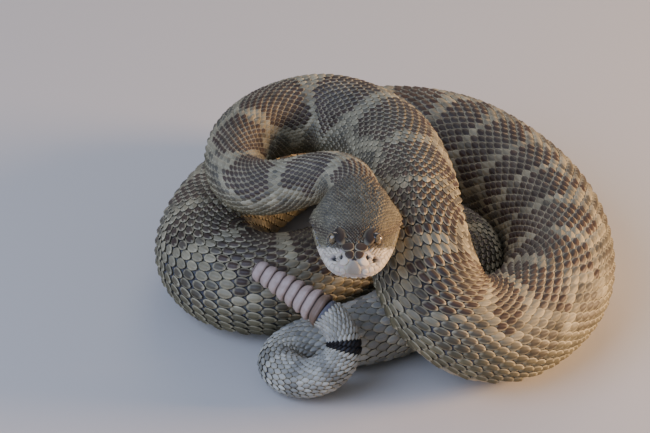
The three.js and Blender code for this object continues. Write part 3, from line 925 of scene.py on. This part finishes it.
def make_head_plates():
    plates = Plates()
    plates.add(rounded(ROSTRAL), PLATE_HEIGHT * 1.2, tone=0.3, browned=1.0, creamed=0.5)
    plates.add(rounded(MENTAL), PLATE_HEIGHT, creamed=1.0)
    for hand in (1, -1):
        brow = oval(11.5, 6.2 * hand, 7.4, 5.0, 3.1, turn=0.14 * hand, slope=0.12)
        side = frame_at(np.array([EYE_AT["back"]]))[3][0] * hand
        plates.add(brow, BROW_HEIGHT, lean=side * 0.7, browned=1.0, black_and_shade=0.5, tone=0.3)
        for brown, shape in SNOUT_PLATES:
            outline = rounded(mirrored(np.array(shape, float), hand))
            outline = outline.mean(axis=0) + (outline - outline.mean(axis=0)) * 1.16
            plates.add(outline, PLATE_HEIGHT * 1.1, tone=0.45, browned=brown, creamed=1 - brown)
        lip_plates(plates, 0.3, 3.0, 1.0, hand, 0.0)
        lip_plates(plates, -0.4, -3.0, 0.97, hand, 0.6)
        eye_angle = side_angle(EYE_AT["back"], EYE_AT["up"])
        side_mm = float(reach_at(EYE_AT["back"], eye_angle)) * math.sin(eye_angle) / MM
        for step in range(EYE_BEADS):
            angle = 2 * math.pi * step / EYE_BEADS
            b = EYE_AT["back"] / MM + 3.15 * math.cos(angle)
            u = EYE_AT["up"] / MM + 2.9 * math.sin(angle)
            bead = oval(b, (side_mm - 0.35 * (u - 5.2)) * hand, u, 0.55, 0.4, count=10)
            bead[:, 2] = u + (bead[:, 1] - bead[:, 1].mean()) * 1.4
            bead[:, 1] = bead[:, 1].mean()
            plates.add(bead, PLATE_HEIGHT * 1.3, tone=0.6, browned=0.5)
    piece = new_piece("head_plates", [tuple(v) for v in plates.verts], plates.faces)
    marks = np.array(plates.marks)
    angle = np.arctan2(marks[:, 1], marks[:, 2])
    add_marks(piece.data, marks[:, 0] * MM, angle, marks[:, 4], marks[:, 3], marks[:, 5], marks[:, 6])
    back, across, up = np.array(plates.roots).T
    roots = bake_place(np.maximum(back, 0) * MM, np.arctan2(across, up))
    add_places(piece.data, np.array(plates.places), roots)
    return piece, np.array(plates.verts)


head_plates, plate_points = make_head_plates()
head_plates.data.materials.append(SCALE_SKIN)
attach(head_plates, "root")

# Head scales
# Small keeled scales between the plates, finest on the crown and larger towards the neck and
# under the jaw. They lie flatter than the body's.
def head_roots():
    found = []
    at = 1.6 * MM
    ring = 0
    while at < 49.5 * MM:
        at_mm = at / MM
        size = np.interp(at_mm, [2, 8, 14, 28, 49], [1.25, 1.15, 1.2, 1.5, 2.05]) * MM
        mouth = float(mouth_angle(at)[0])
        lips = 3.1 * MM / float(reach_at(at, mouth)) * (at_mm < MOUTH_LENGTH - 2)
        angle = (0.5 if ring % 2 else 0) * size / float(reach_at(at, 0.0))
        while angle < np.pi - 0.05:
            reach = float(reach_at(at, angle))
            low = ease(angle, 1.3, 2.2)
            grown = size * (1 + 0.35 * low)
            if abs(angle - mouth) > lips + grown * 0.3 / reach:
                for hand in ((1, -1) if angle > 1e-6 else (1,)):
                    found.append((at, angle * hand, grown))
            slope = abs(float(reach_at(at, angle + 0.05)) - reach) / 0.05
            angle += grown * 1.02 / math.hypot(reach, slope)
        at += size * 0.8
        ring += 1
    return np.array(found)


grains = head_roots()
centres = on_form(grains[:, 0] + grains[:, 2] * 0.5, grains[:, 1], -0.2 * MM)[0]
clear = np.ones(len(grains), bool)
for centre in FACE["eye"]:
    clear &= np.linalg.norm(centres - centre, axis=1) > EYE_RADIUS + 0.9 * MM
for centre in FACE["pit"]:
    clear &= np.linalg.norm(centres - centre, axis=1) > PIT_AT["radius"] + 0.45 * MM
for centre in FACE["nostril"]:
    clear &= np.linalg.norm(centres - centre, axis=1) > NOSTRIL_AT["radius"] + 0.6 * MM
for start in range(0, len(plate_points), 400):
    gaps = np.linalg.norm(centres[:, None] - plate_points[None, start:start + 400], axis=2).min(axis=1)
    clear &= gaps > grains[:, 2] * 0.42
grains = grains[clear]
wob = rng.uniform(-1, 1, (4, len(grains)))
lay_scales(
    "head_scales",
    (grains[:, 0] + wob[0] * 0.17 * grains[:, 2], grains[:, 1] + wob[1] * 0.16 * grains[:, 2] / (11 * MM)),
    scale_form(4, 5),
    (grains[:, 2] * (0.5 + 0.06 * wob[2]), grains[:, 2] * (1.12 + 0.1 * wob[2])),
    0.6 * grains[:, 2] ** 0.5 * (1.3 * MM) ** 0.5, 0.5 + 0.5 * wob[3], SCALE_SKIN, lift=-0.45 * MM,
)

# Eyes
# A gold-brown iris flecked with dark, an upright slit of a pupil, and the clear fixed scale over
# it. Each globe is a ball set under its brow plate.
PUPIL_HALF = 0.42 * MM
PUPIL_REACH = 2.0 * MM


def make_eye(name, centre, hand):
    """A globe looking out, forwards and a little up, with each point's own place kept on it."""
    _, along, back, side = (v[0] for v in frame_at(np.array([EYE_AT["back"]])))
    bpy.ops.object.select_all(action="DESELECT")
    bpy.ops.mesh.primitive_uv_sphere_add(segments=64, ring_count=40, radius=1)
    eye = bpy.context.object
    eye.name = name
    mesh = eye.data
    mesh.name = name
    co = np.empty(len(mesh.vertices) * 3)
    mesh.vertices.foreach_get("co", co)
    co = co.reshape(-1, 3)
    look = side * hand * 0.83 - along * 0.52 + back * 0.2
    look /= np.linalg.norm(look)
    upright = back - look * float(back @ look)
    upright /= np.linalg.norm(upright)
    wide = np.cross(upright, look)
    bulge = 1 + 0.05 * ease(co[:, 2], 0.6, 1.0)
    world = centre + EYE_RADIUS * bulge[:, None] * (
        co[:, 0:1] * wide + co[:, 1:2] * upright + co[:, 2:3] * look)
    mesh.vertices.foreach_set("co", world.ravel())
    layer = mesh.attributes.new("globe", "FLOAT_VECTOR", "POINT")
    layer.data.foreach_set("vector", co.astype(np.float32).ravel())
    mesh.shade_smooth()
    mesh.update()
    return eye


def eye_material():
    """Wet globe: flecked iris, slit pupil and dark rim under one clear glossy coat."""
    material, tree, shader = new_material("wet_eye")
    globe = add_node(tree, "ShaderNodeAttribute", {"attribute_name": "globe"}).outputs["Vector"]
    split = add_node(tree, "ShaderNodeSeparateXYZ", links={"Vector": globe})
    fleck = noise(tree, globe, 0.2, 5)
    iris = mixed(tree, ramp(tree, fleck, 0.35, 0.7), linear("#8f7a4e"), linear("#3b2d1e"))
    reaches = {"X": PUPIL_HALF / EYE_RADIUS, "Y": PUPIL_REACH / EYE_RADIUS}
    parts = [math_of(tree, "POWER", split.outputs[k], 2) for k in reaches]
    wide, tall = [math_of(tree, "DIVIDE", part, reach ** 2) for part, reach in zip(parts, reaches.values())]
    slit = math_of(tree, "ADD", wide, tall)
    colour = mixed(tree, ramp(tree, slit, 1.15, 0.85), iris, linear("#050505"))
    dark = ramp(tree, split.outputs["Z"], 0.62, 0.45)
    colour = mixed(tree, dark, colour, linear("#1a1512"))
    tree.links.new(colour, shader.inputs["Base Color"])
    shader.inputs["Roughness"].default_value = 0.25
    shader.inputs["Coat Weight"].default_value = 1.0
    shader.inputs["Coat Roughness"].default_value = 0.03
    return material


WET_EYE = eye_material()
for hand, centre in zip((1, -1), FACE["eye"]):
    node = "eye_left" if hand > 0 else "eye_right"
    eye = make_eye("globe_left" if hand > 0 else "globe_right", centre, hand)
    eye.data.materials.append(WET_EYE)
    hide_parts(node)
    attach(eye, "root")

# Rattle
# Loose rings of dry horn, each locked into the one before it, flattened from side to side and
# smaller towards the tip. A new ring is added at the root with each moult.
RATTLE_TIP = (np.array((-54, -56, 43)) - CENTRE) * MM
RATTLE_SEGMENTS = 8
RATTLE_WIDTHS = (15 * MM, 8.5 * MM)
RATTLE_THINNESS = 0.68
RATTLE_SIDES = 56
SWELL = np.array([
    (0, 0.72), (0.04, 0.8), (0.1, 0.9), (0.18, 0.96), (0.28, 0.995), (0.38, 1), (0.46, 0.975), (0.52, 0.945),
    (0.58, 0.95), (0.66, 0.94), (0.76, 0.9), (0.86, 0.85), (0.93, 0.8), (0.985, 0.74),
])


def make_rattle():
    """One closed tube of rings from the tail's end to the tip, swelling at each segment."""
    end = frame_at(np.array([TAIL_END - STEP]))[1][0]
    base = point_at(np.array([TAIL_END]))[0] + end * 0.2 * MM
    along = RATTLE_TIP - base
    length = np.linalg.norm(along)
    along /= length
    thin = np.array([0, -0.85, 0.53])
    thin -= along * (thin @ along)
    thin /= np.linalg.norm(thin)
    broad = np.cross(along, thin)
    pitch = length / RATTLE_SEGMENTS
    angle = np.linspace(0, 2 * np.pi, RATTLE_SIDES, endpoint=False)
    rings, depth = [], []
    for segment in range(RATTLE_SEGMENTS):
        skew = 1 + 0.03 * math.sin(2.1 * segment)
        for share, swell in SWELL:
            at = (segment + share) * pitch
            half = np.interp(at / length, [0, 1], RATTLE_WIDTHS) / 2 * swell * skew
            waist = 1 - 0.15 * np.abs(np.cos(angle)) ** 8
            lobes = 1 + 0.015 * np.cos(4 * angle)
            middle = base + along * at
            ring = middle + half * np.sin(angle)[:, None] * lobes[:, None] * broad
            ring = ring + (half * RATTLE_THINNESS * np.cos(angle) * waist)[:, None] * thin
            rings.append(ring)
            depth.append(np.full(RATTLE_SIDES, swell))
    rim = rings[-1]
    middle = rim.mean(axis=0)
    for shrink, more in ((0.8, 0.5), (0.4, 0.8)):
        rings.append(middle + (rim - middle) * shrink + along * more * MM)
        depth.append(np.full(RATTLE_SIDES, 0.9))
    count = len(rings)
    rattle = new_piece("horn_rattle", np.vstack(rings).tolist(), tube_faces(count, RATTLE_SIDES))
    # groove holds how deep each point lies in a groove between rings, for the painted shade there
    groove = rattle.data.attributes.new("groove", "FLOAT", "POINT")
    groove.data.foreach_set("value", (1 - np.concatenate(depth)).astype(np.float32))
    way = rattle.data.attributes.new("way", "FLOAT", "POINT")
    way.data.foreach_set("value", np.repeat(np.linspace(0, 1, count), RATTLE_SIDES).astype(np.float32))
    return rattle


def horn_material():
    """Old horn: pinkish tan, browner at the newest ring, with painted shade in the grooves, and lightly
    scuffed.
    """
    material, tree, shader = new_material("dry_rattle_horn")
    groove = add_node(tree, "ShaderNodeAttribute", {"attribute_name": "groove"}).outputs["Fac"]
    way = add_node(tree, "ShaderNodeAttribute", {"attribute_name": "way"}).outputs["Fac"]
    place = add_node(tree, "ShaderNodeTexCoord").outputs["Object"]
    colour = mixed(tree, ramp(tree, way, 0.16, 0.08), linear("#b5a196"), linear("#77614f"))
    mottle = ramp(tree, noise(tree, place, 2.5 * MM, 5), 0.4, 0.75, top=0.5)
    colour = mixed(tree, mottle, colour, linear("#8a6f5c"))
    # painted shade: the grooves between the rings are darkened
    colour = mixed(tree, ramp(tree, groove, 0.12, 0.26), colour, linear("#3a2c22"))
    tree.links.new(colour, shader.inputs["Base Color"])
    add_bump(tree, shader, noise(tree, place, 0.4 * MM, 3), 0.3, 0.08 * MM)
    shader.inputs["Roughness"].default_value = 0.48
    return material


rattle = make_rattle()
rattle.data.materials.append(horn_material())
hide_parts("rattle")
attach(rattle, "root")

# Floor, light and camera
# A plain pale floor under a warm soft key from the right and a cool fill from the left. The
# camera stands about a metre off, a little over thirty degrees up, as the photo was taken.
bpy.ops.object.select_all(action="DESELECT")
bpy.ops.mesh.primitive_plane_add(size=6, location=(0, 0, 0))
floor = bpy.context.object
floor.name = "studio_floor"
floor_material, _, floor_shader = new_material("pale_floor")
floor_shader.inputs["Base Color"].default_value = linear("#c9c6c0")
floor_shader.inputs["Roughness"].default_value = 0.9
floor.data.materials.append(floor_material)

LIGHTS = {
    "key": ((0.98, -0.05, 0.25), 0.28, 21.0, "#ffcf9c"),
    "fill": ((-0.75, -0.6, 0.8), 1.0, 13.0, "#c2d4ff"),
    "rim": ((0.1, 0.9, 0.8), 0.6, 2.5, "#ffeedd"),
}
for name, (place, size, power, tint) in LIGHTS.items():
    lamp = bpy.data.lights.new(name, "AREA")
    lamp.size = size
    lamp.energy = power
    lamp.color = linear(tint)[:3]
    holder = bpy.data.objects.new(name, lamp)
    holder.location = place
    aim = np.array([0, 0, 0.03]) - np.array(place)
    holder.rotation_euler = (
        math.acos(-aim[2] / np.linalg.norm(aim)), 0, math.atan2(aim[1], aim[0]) - math.pi / 2,
    )
    bpy.context.scene.collection.objects.link(holder)
world = bpy.data.worlds.new("studio")
world.use_nodes = True
world.node_tree.nodes["Background"].inputs["Color"].default_value = linear("#cfd9f0")
world.node_tree.nodes["Background"].inputs["Strength"].default_value = 0.45
bpy.context.scene.world = world

CAMERA_ELEVATION = math.radians(32)
CAMERA_DISTANCE = 1.1
LOOK_AT = (np.array((-25, 6, 30)) - CENTRE) * MM
camera_data = bpy.data.cameras.new("photo_camera")
camera_data.lens = 137.08
camera = bpy.data.objects.new("photo_camera", camera_data)
away = np.array([0, -math.cos(CAMERA_ELEVATION), math.sin(CAMERA_ELEVATION)])
camera.location = LOOK_AT + away * CAMERA_DISTANCE
camera.rotation_euler = (math.pi / 2 - CAMERA_ELEVATION, 0, 0)
bpy.context.scene.collection.objects.link(camera)
bpy.context.scene.camera = camera
